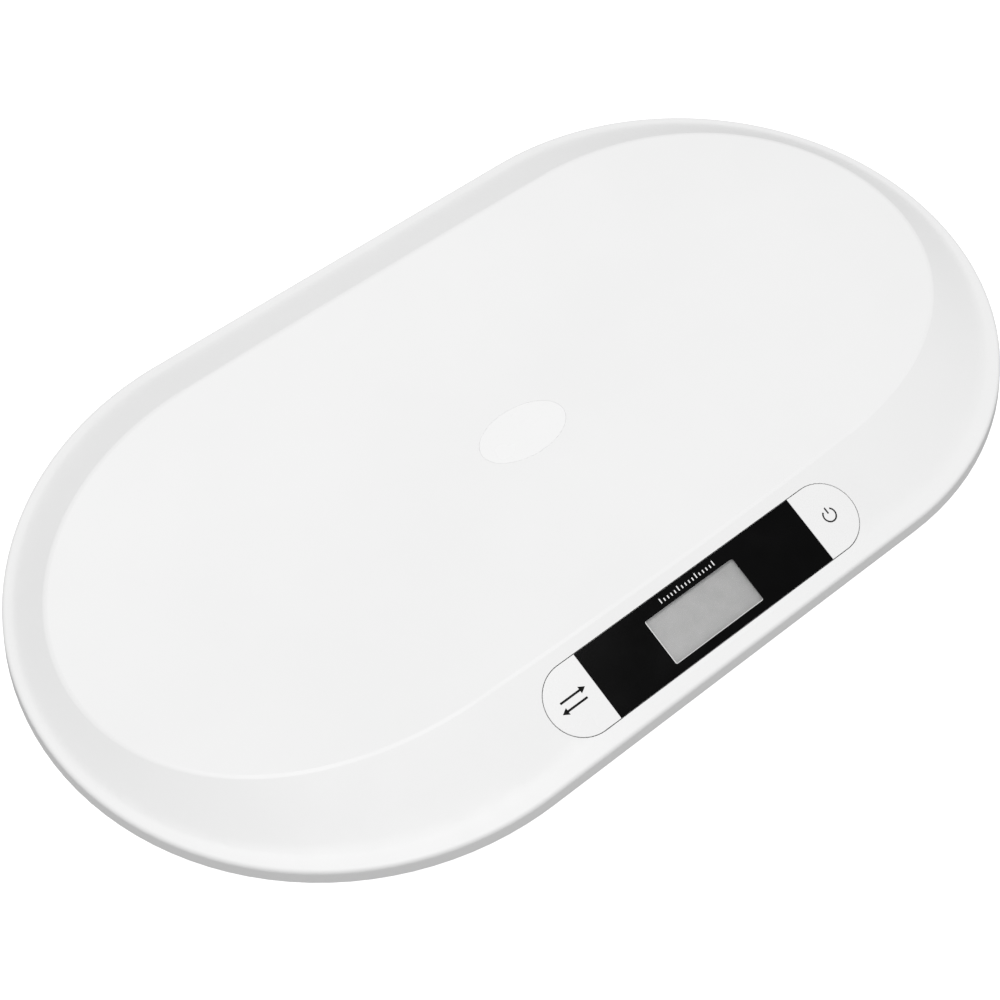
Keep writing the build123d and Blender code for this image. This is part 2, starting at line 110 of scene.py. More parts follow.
back = Vector((
    sin(camera_azimuth) * cos(camera_elevation),
    -cos(camera_azimuth) * cos(camera_elevation),
    sin(camera_elevation),
))
side = Vector((0, 0, 1)).cross(back).normalized()
axes = Matrix((side, back.cross(side), back)).transposed()
camera_data = bpy.data.cameras.new("camera")
camera_data.lens = camera_lens
camera_data.sensor_width = camera_sensor
camera_data.clip_start = nearest_seen
camera = bpy.data.objects.new("camera", camera_data)
bpy.context.scene.collection.objects.link(camera)
camera.matrix_world = (
    Matrix.Translation(camera_target + back * camera_distance)
    @ axes.to_4x4()
    @ Matrix.Rotation(camera_roll, 4, "Z")
)
bpy.context.scene.camera = camera
print("camera at", [round(value, 3) for value in camera.matrix_world.translation])

# %% [markdown]
# ## The studio
# White on white only works when the light has a direction: a large soft box straight above leaves the
# level dish brightest, shades the sloping border a little, and lets the upright skirt fall to grey.
# The room around it is a white tent that lights the sloping border from all sides. A glossy black
# panel would turn grey if it mirrored that tent, so the tent is made dim for glossy rays only, and
# the soft box stays away from the direction in which the panel mirrors the camera.

# %% Floor, sky and lamps
scene = bpy.context.scene
scene.view_settings.view_transform = "Standard"


def bare_object(name, mesh):
    thing = bpy.data.objects.new(name, mesh)
    bpy.context.scene.collection.objects.link(thing)
    return thing


def soft_box(name, place, aim, width, depth, power):
    lamp = bpy.data.lights.new(name, "AREA")
    lamp.shape = "RECTANGLE"
    lamp.size = width
    lamp.size_y = depth
    lamp.energy = power
    thing = bare_object(name, lamp)
    direction = Vector(aim) - Vector(place)
    thing.matrix_world = Matrix.Translation(place) @ direction.to_track_quat("-Z", "Y").to_matrix().to_4x4()


floor_reach = 6.0
bm = bmesh.new()
bmesh.ops.create_grid(bm, x_segments=1, y_segments=1, size=floor_reach)
floor_mesh = bpy.data.meshes.new("studio_floor")
bm.to_mesh(floor_mesh)
bm.free()
floor = bare_object("studio_floor", floor_mesh)

overhead_place, overhead_size, overhead_power = (-0.02, 0.0, 2.2), 1.5, 22.0
underside_place, underside_size, underside_power = (0.0, 0.0, -1.0), 0.8, 9.0
soft_box("overhead_soft_box", overhead_place, (0, 0, 0), overhead_size, overhead_size, overhead_power)
soft_box("underside_soft_box", underside_place, (0, 0, 0), underside_size, underside_size, underside_power)

room_light, room_gloss, room_seen = 0.74, 0.12, 1.0
sky = bpy.data.worlds.new("studio_sky")
scene.world = sky
sky.use_nodes = True
sky_tree = sky.node_tree
sky_rays = sky_tree.nodes.new("ShaderNodeLightPath")
sky_shade = None
for ray, strength in ((None, room_light), ("Is Glossy Ray", room_gloss), ("Is Camera Ray", room_seen)):
    shade = sky_tree.nodes["Background"] if ray is None else sky_tree.nodes.new("ShaderNodeBackground")
    shade.inputs["Color"].default_value = (1, 1, 1, 1)
    shade.inputs["Strength"].default_value = strength
    if ray is None:
        sky_shade = shade.outputs[0]
        continue
    either = sky_tree.nodes.new("ShaderNodeMixShader")
    sky_tree.links.new(sky_rays.outputs[ray], either.inputs["Fac"])
    sky_tree.links.new(sky_shade, either.inputs[1])
    sky_tree.links.new(shade.outputs[0], either.inputs[2])
    sky_shade = either.outputs[0]
sky_tree.links.new(sky_shade, sky_tree.nodes["World Output"].inputs["Surface"])
print("studio ready, floor", 2 * floor_reach, "m across")

# %% [markdown]
# ## Shared surface effects
# Every moulded piece shares the same three slow effects: cloudy unevenness in its tone, patches that
# are a little shinier, and a fine grain pressed in by the mould. They could be copied into each
# material, but a node group keeps them in one place. It only puts out colours, values and heights,
# and each material decides what to do with them.

# %% Helpers for materials and node groups
def new_group(name, inputs, outputs):
    """Empty node group with named sockets. Inputs are (name, kind, value), outputs (name, kind)."""
    group = bpy.data.node_groups.new(name, "ShaderNodeTree")
    for label, kind, value in inputs:
        socket = group.interface.new_socket(label, in_out="INPUT", socket_type="NodeSocket" + kind)
        socket.default_value = value
    for label, kind in outputs:
        group.interface.new_socket(label, in_out="OUTPUT", socket_type="NodeSocket" + kind)
    return group, group.nodes.new("NodeGroupInput"), group.nodes.new("NodeGroupOutput")


def add_node(tree, kind, links=(), **values):
    """Node of that kind, with its sockets set by value and by (socket, source) links."""
    node = tree.nodes.new("ShaderNode" + kind)
    for label, value in values.items():
        if label in node.inputs:
            node.inputs[label].default_value = value
        else:
            setattr(node, label, value)
    for socket, source in links:
        tree.links.new(source, node.inputs[socket])
    return node


def math_node(tree, operation, first, second):
    node = tree.nodes.new("ShaderNodeMath")
    node.operation = operation
    for socket, value in zip(node.inputs, (first, second)):
        if isinstance(value, (int, float)):
            socket.default_value = value
        else:
            tree.links.new(value, socket)
    return node.outputs[0]


def mix_colours(tree, factor, first, second):
    """Colour mix whose factor, and either colour, may be a socket or a value."""
    node = tree.nodes.new("ShaderNodeMix")
    node.data_type = "RGBA"
    for socket, value in ((node.inputs[0], factor), (node.inputs[6], first), (node.inputs[7], second)):
        if isinstance(value, (int, float, tuple)):
            socket.default_value = value
        else:
            tree.links.new(value, socket)
    return node.outputs[2]


def value_range(tree, source, low, high, from_low=0.0, from_high=1.0):
    node = tree.nodes.new("ShaderNodeMapRange")
    tree.links.new(source, node.inputs["Value"])
    ends = (("From Min", from_low), ("From Max", from_high), ("To Min", low), ("To Max", high))
    for label, value in ends:
        if isinstance(value, (int, float)):
            node.inputs[label].default_value = value
        else:
            tree.links.new(value, node.inputs[label])
    return node.outputs[0]


# %% Moulded plastic group
plastic_group, given, result = new_group(
    "moulded_plastic",
    [("Colour", "Color", (0.8, 0.8, 0.8, 1)), ("Shade", "Float", 0.97), ("Cloud Size", "Float", 9.0),
     ("Shiny", "Float", 0.3), ("Dull", "Float", 0.4), ("Grain Size", "Float", 1500.0)],
    [("Colour", "Color"), ("Roughness", "Float"), ("Height", "Float")],
)
place = add_node(plastic_group, "TexCoord").outputs["Object"]
clouds = add_node(plastic_group, "TexNoise", [("Vector", place), ("Scale", given.outputs["Cloud Size"])],
                  Detail=3.0)
patches = add_node(plastic_group, "TexNoise", [("Vector", place)], Scale=60.0, Detail=4.0)
grain = add_node(plastic_group, "TexNoise", [("Vector", place), ("Scale", given.outputs["Grain Size"])],
                 Detail=2.0)
darker = add_node(plastic_group, "HueSaturation", [("Color", given.outputs["Colour"]),
                                                   ("Value", given.outputs["Shade"])])
cloud_factor = value_range(plastic_group, clouds.outputs["Fac"], 0.0, 1.0, 0.35, 0.65)
tone = mix_colours(plastic_group, cloud_factor, darker.outputs["Color"], given.outputs["Colour"])
rough = value_range(
    plastic_group, patches.outputs["Fac"], given.outputs["Shiny"], given.outputs["Dull"], 0.3, 0.7
)
plastic_group.links.new(tone, result.inputs["Colour"])
plastic_group.links.new(rough, result.inputs["Roughness"])
plastic_group.links.new(grain.outputs["Fac"], result.inputs["Height"])
print("group", plastic_group.name)

# %% [markdown]
# Metal shows how it was made: drawn or ground steel carries fine lines along one direction. Noise
# that is stretched along an axis gives those lines, and the stretch is an input because a screw head
# and a pressed plate were worked in different ways.

# %% Worked metal group
metal_group, given, result = new_group(
    "worked_metal",
    [("Colour", "Color", (0.6, 0.6, 0.62, 1)), ("Tarnish", "Color", (0.4, 0.39, 0.38, 1)),
     ("Stretch", "Vector", (200.0, 4000.0, 4000.0)), ("Shiny", "Float", 0.22), ("Dull", "Float", 0.42)],
    [("Colour", "Color"), ("Roughness", "Float"), ("Height", "Float")],
)
place = add_node(metal_group, "TexCoord").outputs["Object"]
stretched = add_node(metal_group, "VectorMath", [(0, place), (1, given.outputs["Stretch"])],
                     operation="MULTIPLY")
lines = add_node(metal_group, "TexNoise", [("Vector", stretched.outputs[0])], Scale=1.0, Detail=3.0)
stains = add_node(metal_group, "TexNoise", [("Vector", place)], Scale=140.0, Detail=4.0)
stain_factor = value_range(metal_group, stains.outputs["Fac"], 0.0, 0.6, 0.45, 0.75)
tone = mix_colours(metal_group, stain_factor, given.outputs["Colour"], given.outputs["Tarnish"])
rough = value_range(
    metal_group, lines.outputs["Fac"], given.outputs["Shiny"], given.outputs["Dull"], 0.3, 0.7
)
metal_group.links.new(tone, result.inputs["Colour"])
metal_group.links.new(rough, result.inputs["Roughness"])
metal_group.links.new(lines.outputs["Fac"], result.inputs["Height"])
print("group", metal_group.name)


# %% Materials from the groups
def new_finish(name, **values):
    """Material with one Principled shader, whose plain values are set on its own sockets."""
    finish = bpy.data.materials.new(name)
    finish.use_nodes = True
    shader = finish.node_tree.nodes["Principled BSDF"]
    for label, value in values.items():
        shader.inputs[label.replace("_", " ")].default_value = value
    return finish, finish.node_tree, shader


def use_group(tree, shader, group, relief, distance, **values):
    """Places the group and feeds its colour, roughness and height to the shader."""
    effect = tree.nodes.new("ShaderNodeGroup")
    effect.node_tree = group
    for label, value in values.items():
        effect.inputs[label.replace("_", " ")].default_value = value
    tree.links.new(effect.outputs["Colour"], shader.inputs["Base Color"])
    tree.links.new(effect.outputs["Roughness"], shader.inputs["Roughness"])
    bump = add_node(tree, "Bump", [("Height", effect.outputs["Height"])], Strength=relief, Distance=distance)
    tree.links.new(bump.outputs["Normal"], shader.inputs["Normal"])


def plastic(name, colour, shiny, dull, relief, grain_size, shade=0.97, coat=0.0, specular=0.5):
    """Moulded plastic. Relief is how strongly the mould's grain shows."""
    finish, tree, shader = new_finish(name, Coat_Weight=coat, Coat_Roughness=0.08,
                                      Specular_IOR_Level=specular)
    use_group(tree, shader, plastic_group, relief, 0.05 * mm, Colour=(*colour, 1), Shade=shade,
              Shiny=shiny, Dull=dull, Grain_Size=grain_size)
    return finish


def metal(name, colour, tarnish, stretch, shiny, dull, relief=0.15):
    finish, tree, shader = new_finish(name, Metallic=1.0)
    use_group(tree, shader, metal_group, relief, 0.02 * mm, Colour=(*colour, 1), Tarnish=(*tarnish, 1),
              Stretch=stretch, Shiny=shiny, Dull=dull)
    return finish


finishes = {}

# %% [markdown]
# ## White shell, keys and badge
# The tray is one white ABS moulding with a satin skin. A pure white with no variation looks like
# paper, so the tone drifts by about one percent and the gloss by a little more. The keys and the oval
# in the middle of the dish come from a polished mould, so they are smoother than the tray.

# %% Whites
finishes["white_shell"] = plastic("tray_satin_white", (0.80, 0.80, 0.80), 0.36, 0.44, 0.05, 1800.0, 0.985)
finishes["key_white"] = plastic("key_gloss_white", (0.82, 0.82, 0.82), 0.24, 0.32, 0.02, 2500.0, 0.99)
finishes["badge"] = plastic("badge_smooth_white", (0.83, 0.83, 0.83), 0.22, 0.30, 0.02, 2500.0, 0.99)
finishes["white_inner"] = plastic("inner_matt_white", (0.76, 0.76, 0.75), 0.5, 0.62, 0.25, 900.0, 0.94)
finishes["base_white"] = plastic("base_spark_white", (0.74, 0.74, 0.735), 0.5, 0.64, 0.5, 1100.0, 0.95)
finishes["foot_grey"] = plastic("foot_white", (0.72, 0.72, 0.715), 0.42, 0.55, 0.3, 1200.0, 0.95)
print("white plastics", [finish.name for finish in finishes.values()])

# %% [markdown]
# ## Black panel, clear window and display glass
# The panel is clear plastic printed black on its back, so it is a dark base under a glossy coat. The
# window is the same sheet left unprinted. Real refraction would keep lamp light from reaching the
# display behind it, so shadow and diffuse rays pass straight through and the rest still refract.

# %% Panel and window
finish, tree, shader = new_finish("panel_black_print", Coat_Weight=0.3, Coat_Roughness=0.05,
                                  Specular_IOR_Level=0.1)
use_group(tree, shader, plastic_group, 0.02, 0.02 * mm, Colour=(0.0020, 0.0020, 0.0021, 1), Shade=0.6,
          Cloud_Size=30.0, Shiny=0.16, Dull=0.24, Grain_Size=1200.0)
finishes["black_print"] = finish

finish, tree, shader = new_finish("window_clear", Base_Color=(0.97, 0.97, 0.97, 1), Transmission_Weight=1.0,
                                  IOR=1.49, Metallic=0.0)
place = add_node(tree, "TexCoord").outputs["Object"]
haze = add_node(tree, "TexNoise", [("Vector", place)], Scale=90.0, Detail=3.0)
tree.links.new(value_range(tree, haze.outputs["Fac"], 0.02, 0.07), shader.inputs["Roughness"])
clear = add_node(tree, "BsdfTransparent", Color=(0.92, 0.92, 0.92, 1))
rays = add_node(tree, "LightPath")
unbent = math_node(tree, "MAXIMUM", rays.outputs["Is Shadow Ray"], rays.outputs["Is Diffuse Ray"])
choice = add_node(tree, "MixShader", [(0, unbent), (1, shader.outputs[0]), (2, clear.outputs[0])])
tree.links.new(choice.outputs[0], tree.nodes["Material Output"].inputs["Surface"])
finishes["clear_window"] = finish
# Pale finish for the window pane's left and near rim faces: a painted highlight where light leaves the pane's
# edges.
pane_edge_highlight = plastic("pane_frosted_edge", (0.80, 0.80, 0.80), 0.45, 0.6, 0.1, 900.0, 0.95)

# %% Display glass
lcd_dark, lcd_pale = (0.43, 0.43, 0.428, 1), (0.57, 0.57, 0.568, 1)
finish, tree, shader = new_finish("display_grey", Coat_Weight=0.3, Coat_Roughness=0.1)
place = add_node(tree, "TexCoord").outputs["Object"]
mottle = add_node(tree, "TexNoise", [("Vector", place)], Scale=120.0, Detail=5.0, Roughness=0.6)
lean = add_node(tree, "SeparateXYZ", [("Vector", place)])
# The grey darkens towards +X, the display's right side: a painted shade, added to the random mottle.
right_side_shade = value_range(tree, lean.outputs["X"], 0.25, -0.25, -0.03, 0.03)
mottle_and_shade = math_node(tree, "ADD", mottle.outputs["Fac"], right_side_shade)
tree.links.new(mix_colours(tree, mottle_and_shade, lcd_dark, lcd_pale), shader.inputs["Base Color"])
tree.links.new(value_range(tree, mottle.outputs["Fac"], 0.35, 0.5), shader.inputs["Roughness"])
finishes["lcd"] = finish
print("panel, window and display finishes")

# %% [markdown]
# ## Inside: board, chips, leads, batteries and load cells
# Hidden pieces show when the battery door is open or the part is taken apart, so they get the
# same care. A circuit board is green lacquer over copper tracks. The tracks could be drawn one by
# one, but a brick pattern cut by a noise mask gives believable runs of parallel lines.

# %% Circuit board
lacquer_green, track_green = (0.012, 0.10, 0.045, 1), (0.05, 0.21, 0.09, 1)
finish, tree, shader = new_finish("board_lacquer", Coat_Weight=0.4, Coat_Roughness=0.15)
place = add_node(tree, "TexCoord").outputs["Object"]
tracks = add_node(tree, "TexBrick", [("Vector", place)], Color1=(1, 1, 1, 1), Color2=(1, 1, 1, 1),
                  Mortar=(0, 0, 0, 1), Scale=1.0)
tracks.inputs["Brick Width"].default_value = 9 * mm
tracks.inputs["Row Height"].default_value = 1.3 * mm
tracks.inputs["Mortar Size"].default_value = 0.22 * mm
areas = add_node(tree, "TexNoise", [("Vector", place)], Scale=70.0, Detail=1.0)
routed = math_node(tree, "GREATER_THAN", areas.outputs["Fac"], 0.48)
copper = math_node(tree, "MULTIPLY", tracks.outputs["Fac"], routed)
tree.links.new(mix_colours(tree, copper, lacquer_green, track_green), shader.inputs["Base Color"])
tree.links.new(value_range(tree, areas.outputs["Fac"], 0.25, 0.4), shader.inputs["Roughness"])
bump = add_node(tree, "Bump", [("Height", copper)], Strength=0.4, Distance=0.03 * mm)
tree.links.new(bump.outputs["Normal"], shader.inputs["Normal"])
finishes["board_green"] = finish

# %% Layered contact rubber
finish, tree, shader = new_finish("contact_rubber_layers")
place = add_node(tree, "TexCoord").outputs["Object"]
layers = add_node(tree, "TexWave", [("Vector", place)], wave_type="BANDS", bands_direction="X", Scale=320.0)
tree.links.new(mix_colours(tree, layers.outputs["Fac"], (0.02, 0.02, 0.02, 1), (0.55, 0.50, 0.45, 1)),
               shader.inputs["Base Color"])
tree.links.new(value_range(tree, layers.outputs["Fac"], 0.55, 0.75), shader.inputs["Roughness"])
finishes["rubber_strip"] = finish

# %% Other inner finishes
finishes["chip_black"] = plastic("resin_black", (0.018, 0.018, 0.019), 0.25, 0.45, 0.3, 700.0, 0.7)
finishes["switch_body"] = plastic("switch_black", (0.03, 0.03, 0.032), 0.35, 0.5, 0.3, 900.0, 0.8)
finishes["lead_red"] = plastic("lead_red_jacket", (0.48, 0.035, 0.025), 0.35, 0.5, 0.2, 800.0, 0.85)
finishes["lead_white"] = plastic("lead_white_jacket", (0.74, 0.73, 0.70), 0.35, 0.5, 0.2, 800.0, 0.92)
finishes["gauge_resin"] = plastic("gauge_sealing_resin", (0.76, 0.75, 0.70), 0.3, 0.55, 0.6, 300.0, 0.85)
finishes["pad_rubber"] = plastic("pad_pale_rubber", (0.50, 0.50, 0.49), 0.7, 0.85, 0.6, 1400.0, 0.85)
finishes["battery_wrap"] = plastic("battery_wrap_dark", (0.035, 0.038, 0.042), 0.22, 0.32, 0.1, 500.0,
                                   0.8, 0.3)
battery_band = plastic("battery_band_copper", (0.50, 0.26, 0.12), 0.25, 0.35, 0.1, 500.0, 0.9, 0.3)
battery_can = metal("battery_bare_can", (0.66, 0.65, 0.63), (0.5, 0.48, 0.45), (3000, 300, 300), 0.2, 0.35)
finishes["screw_steel"] = metal("screw_zinc", (0.58, 0.59, 0.61), (0.40, 0.40, 0.40), (900, 900, 200),
                                0.25, 0.42)
finishes["cell_steel"] = metal("cell_pressed_steel", (0.56, 0.56, 0.57), (0.42, 0.40, 0.38), (150, 3500, 300),
                               0.28, 0.45)
finishes["contact_nickel"] = metal("contact_nickel", (0.66, 0.64, 0.60), (0.5, 0.47, 0.42), (600, 600, 2500),
                                   0.16, 0.3)
ink_black = plastic("print_black", (0.006, 0.006, 0.006), 0.5, 0.65, 0.1, 900.0, 0.8, 0.0, 0.2)
ink_grey = plastic("print_dark_grey", (0.02, 0.02, 0.02), 0.5, 0.65, 0.1, 900.0, 0.8, 0.0, 0.2)
ink_white = plastic("print_white", (0.78, 0.78, 0.78), 0.4, 0.55, 0.1, 900.0, 0.96)
print(len(finishes), "finishes by slot")

# %% [markdown]
# ## Dress the solids
# The record names a material slot for every solid. Walking that list is safer than naming each
# solid here, because a solid that is added later can't be left bare by mistake.

# %% Give each solid its finish
for row in frame["record"]["subparts"]:
    for slot in nodes[row["node"]].material_slots:
        slot.material = finishes[row["material_slot"]]
print("dressed", len(nodes), "solids")


# %% [markdown]
# ## Making new pieces
# A piece is modelled as a bmesh near the origin, moved to its place as mesh, and handed over with the
# body it rides on. Its object then sits at the origin like a solid's, so patterns in object
# coordinates stay put. Corners stay sharp above an angle limit, and a weighted normal modifier lets
# each large flat face keep its own direction, so that a gloss on it doesn't bend near its rounded rim.

# %% Helpers for pieces
sharp_angle = radians(35)


def make_piece(bm, name, body, materials, place, replaces=()):
    """Turns a bmesh into a finished piece that rides on a body."""
    bmesh.ops.transform(bm, matrix=place, verts=bm.verts)
    bmesh.ops.remove_doubles(bm, verts=bm.verts, dist=0.001 * mm)
    bmesh.ops.recalc_face_normals(bm, faces=bm.faces)
    mesh = bpy.data.meshes.new(name)
    bm.to_mesh(mesh)
    bm.free()
    for material in materials:
        mesh.materials.append(material)
    mesh.shade_smooth()
    mesh.set_sharp_from_angle(angle=sharp_angle)
    piece = bare_object(name, mesh)
    even = piece.modifiers.new("even_shading", "WEIGHTED_NORMAL")
    even.keep_sharp = True
    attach(piece, body)
    if replaces:
        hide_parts(*replaces)
    print(name, len(mesh.polygons), "faces")


def add_box(bm, length, height, depth, x=0.0, y=0.0, z=0.0):
    """Box centred on x, y and z."""
    place = Matrix.Translation((x, y, z)) @ Matrix.Diagonal((length, height, depth, 1))
    bmesh.ops.create_cube(bm, size=1, matrix=place)


def add_arrow_head(bm, radius, thick, place):
    """Three-sided plate whose lower face lies at that place."""
    corners = bmesh.ops.create_circle(bm, cap_ends=True, segments=3, radius=radius, matrix=place)["verts"]
    grown = bmesh.ops.extrude_face_region(bm, geom=list(corners[0].link_faces))["geom"]
    raised = [item for item in grown if isinstance(item, bmesh.types.BMVert)]
    bmesh.ops.translate(bm, verts=raised, vec=(0, 0, thick))


def round_edges(bm, edges, radius, segments):
    bmesh.ops.bevel(bm, geom=edges, offset=radius, segments=segments, profile=0.5, affect="EDGES",
                    material=-1)


def turned(bm, outline, segments):
    """Spins an outline of (radius, height) points about Z, closed on the axis where it starts there."""
    verts = [bm.verts.new((radius, 0, height)) for radius, height in outline]
    edges = [bm.edges.new(pair) for pair in zip(verts, verts[1:])]
    bmesh.ops.spin(bm, geom=verts + edges, cent=(0, 0, 0), axis=(0, 0, 1), dvec=(0, 0, 0),
                   angle=2 * pi, steps=segments, use_merge=True, use_duplicate=False)
    bmesh.ops.remove_doubles(bm, verts=bm.verts, dist=0.001 * mm)


# %% [markdown]
# ## Display panel with its window opening
# The panel is a thin plate with a rectangular opening. It could be cut by a boolean, but four slices
# along the opening's sides leave one middle block whose top and bottom are taken out and joined, which
# keeps clean faces. The four upright corners are rounded first, then all the rims.

# %% Panel
window_size = tilted_size("display_window")
window_offset = (on_console(panel_top).inverted() @ middle_of("display_window")).to_2d()
window_corner = 1.0 * mm
rim_round = 0.1 * mm


def in_opening(face):
    spot = face.calc_center_median().to_2d() - window_offset
    inside = abs(spot.x) < window_size.x / 2 and abs(spot.y) < window_size.y / 2
    return inside and abs(face.normal.z) > 0.9


bm = bmesh.new()
add_box(bm, *panel_size, z=-panel_size.z / 2)
for axis, half, middle in ((0, window_size.x / 2, window_offset.x), (1, window_size.y / 2, window_offset.y)):
    for way in (-1, 1):
        point = [0, 0, 0]
        normal = [0, 0, 0]
        point[axis] = middle + way * half
        normal[axis] = 1
        everything = bm.verts[:] + bm.edges[:] + bm.faces[:]
        bmesh.ops.bisect_plane(bm, geom=everything, plane_co=point, plane_no=normal)
bm.normal_update()
openings = [face for face in bm.faces if in_opening(face)]
rims = [edge for face in openings for edge in face.edges]
bmesh.ops.delete(bm, geom=openings, context="FACES_ONLY")
bmesh.ops.bridge_loops(bm, edges=rims)
corners = [edge for edge in bm.edges
           if abs((edge.verts[0].co - edge.verts[1].co).z) > panel_size.z / 2
           and (edge.calc_length() - panel_size.z) < rim_round
           and abs(edge.verts[0].co.x - window_offset.x) < window_size.x / 2 + rim_round
           and abs(edge.verts[0].co.y - window_offset.y) < window_size.y / 2 + rim_round]
round_edges(bm, corners, window_corner, 6)
bm.normal_update()
sharp_rims = [edge for edge in bm.edges if edge.is_manifold and edge.calc_face_angle() > radians(60)]
round_edges(bm, sharp_rims, rim_round, 2)
make_piece(bm, "display_panel", "scale", [finishes["black_print"]],
           on_console(panel_top), ["display_bezel"])

# %% [markdown]
# ## Window
# The clear pane fills the opening with a hair of play. Light that travels inside such a pane leaves
# it at the ground edges, so the rim on the left and near sides looks bright. Tracing that light would
# take far too many samples, so those rim faces get a pale finish of their own: a painted highlight.

# %% Window pane
pane_play = 0.03 * mm
pane_rim = 0.45 * mm
bm = bmesh.new()
add_box(bm, window_size.x - 2 * pane_play, window_size.y - 2 * pane_play, window_size.z)
uprights = [edge for edge in bm.edges if abs((edge.verts[0].co - edge.verts[1].co).z) > window_size.z / 2]
round_edges(bm, uprights, window_corner, 6)
bm.normal_update()
top_face = max(bm.faces, key=lambda face: face.calc_center_median().z)
round_edges(bm, list(top_face.edges), pane_rim, 2)
bm.normal_update()
# Rim faces that lean to the left or near side take the painted highlight finish; the rest stay clear.
for face in bm.faces:
    cut_edge = 0.2 < face.normal.z < 0.99
    face.material_index = 1 if cut_edge and min(face.normal.x, face.normal.y) < -0.2 else 0
make_piece(bm, "window_pane", "scale", [finishes["clear_window"], pane_edge_highlight],
           on_console(middle_of("display_window")), ["display_window"])

# %% [markdown]
# ## Prints on the console
# Each key carries a symbol that anyone can read: two arrows for changing the unit, and the ring and
# bar of a power key. A row of plain tick marks stands over the window. Ink is a real layer, so each
# print is a very thin solid that rides on the piece it is printed on.

# %% Print helpers
ink_thick = 0.03 * mm


def key_face(along, up=0.0):
    """Place on the console's face, along and up from the panel's middle."""
    return on_console(panel_top + Vector((along, 0, 0)) + console_up * up + console_out * ink_thick / 2)


key_along = {side: middle_of(side + "_switch").x - panel_top.x for side in ("unit", "power")}


# %% Unit key: a pair of arrows
arrow_length, arrow_gap, stroke = 12.5 * mm, 4.6 * mm, 1.05 * mm
head_radius, symbol_up = 2.1 * mm, 1.0 * mm
bm = bmesh.new()
for way in (-1, 1):
    add_box(bm, arrow_length, stroke, ink_thick, y=way * arrow_gap / 2)
    tip = Matrix.Translation((way * arrow_length / 2, way * arrow_gap / 2, -ink_thick / 2))
    add_arrow_head(bm, head_radius, ink_thick, tip @ Matrix.Rotation(-way * pi / 2, 4, "Z"))
make_piece(bm, "unit_symbol", "unit_key", [ink_black], key_face(key_along["unit"], symbol_up))

# %% Power key: ring and bar
ring_radius, ring_stroke, ring_opening, ring_steps = 3.4 * mm, 0.8 * mm, radians(75), 48
bm = bmesh.new()
section = [bm.verts.new((ring_radius + dx * ring_stroke / 2, 0, dz * ink_thick / 2))
           for dx, dz in ((-1, -1), (1, -1), (1, 1), (-1, 1))]
start_face = bm.faces.new(section)
bmesh.ops.rotate(bm, verts=section, cent=(0, 0, 0), matrix=Matrix.Rotation(pi / 2 + ring_opening / 2, 3, "Z"))
bmesh.ops.spin(bm, geom=[start_face] + list(start_face.edges) + section, cent=(0, 0, 0), axis=(0, 0, 1),
               dvec=(0, 0, 0), angle=2 * pi - ring_opening, steps=ring_steps, use_merge=False,
               use_duplicate=False)
add_box(bm, ring_stroke, ring_radius, ink_thick, y=ring_radius * 0.75)
make_piece(bm, "power_symbol", "power_key", [ink_grey], key_face(key_along["power"]))

# %% Tick marks over the window
tick_count, ticks_per_long, tick_pitch = 16, 5, 2.2 * mm
tick_width, tick_short, tick_long = 0.6 * mm, 1.6 * mm, 2.6 * mm
ticks_middle, ticks_up = -0.75 * mm, 13.0 * mm
bm = bmesh.new()
for number in range(tick_count):
    height = tick_long if number % ticks_per_long == 0 else tick_short
    add_box(bm, tick_width, height, ink_thick, x=(number - (tick_count - 1) / 2) * tick_pitch, y=height / 2)
make_piece(bm, "scale_ticks", "scale", [ink_white], key_face(ticks_middle, ticks_up))

# %% [markdown]
# ## Rubber pads under the feet
# A pad grips because rings are moulded into it. The rings could be bump alone, but they meet the
# floor, so they are real: one outline is turned about the foot's middle, with grooves that follow each
# other at an even pitch from a little inside the rim.

# %% Pads
groove_pitch, groove_width, groove_depth = 3.0 * mm, 0.9 * mm, 0.5 * mm
groove_slope, groove_inset, pad_edge, pad_sides = 0.15 * mm, 2.5 * mm, 0.3 * mm, 96
groove_profile = ((0, 0), (groove_slope, groove_depth), (groove_width - groove_slope, groove_depth),
                  (groove_width, 0))
for name in [name for name in nodes if name.startswith("foot_pad_")]:
    low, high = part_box(name)
    radius, thick = (high.x - low.x) / 2, high.z - low.z
    outline = [(0, thick), (radius, thick), (radius, pad_edge), (radius - pad_edge, 0)]
    groove = radius - groove_inset
    while groove > groove_width:
        for reach, height in groove_profile:
            outline.append((groove - reach, height))
        groove -= groove_pitch
    outline.append((0, 0))
    bm = bmesh.new()
    turned(bm, outline, pad_sides)
    place = Matrix.Translation((middle_of(name).x, middle_of(name).y, low.z))
    make_piece(bm, name.replace("pad", "grip"), name.replace("_pad", ""),
               [finishes["pad_rubber"]], place, [name])

# %% [markdown]
# ## Batteries
# A battery is a drawn steel can in a printed sleeve: bare metal shows at both ends, the sleeve is
# rolled in over the rims, and a band marks the end with the button. One outline is turned and the
# faces take one of three finishes by how far along the can they lie. The buttons of cells 1 and 3
# face -X, those of cells 2 and 4 face +X.

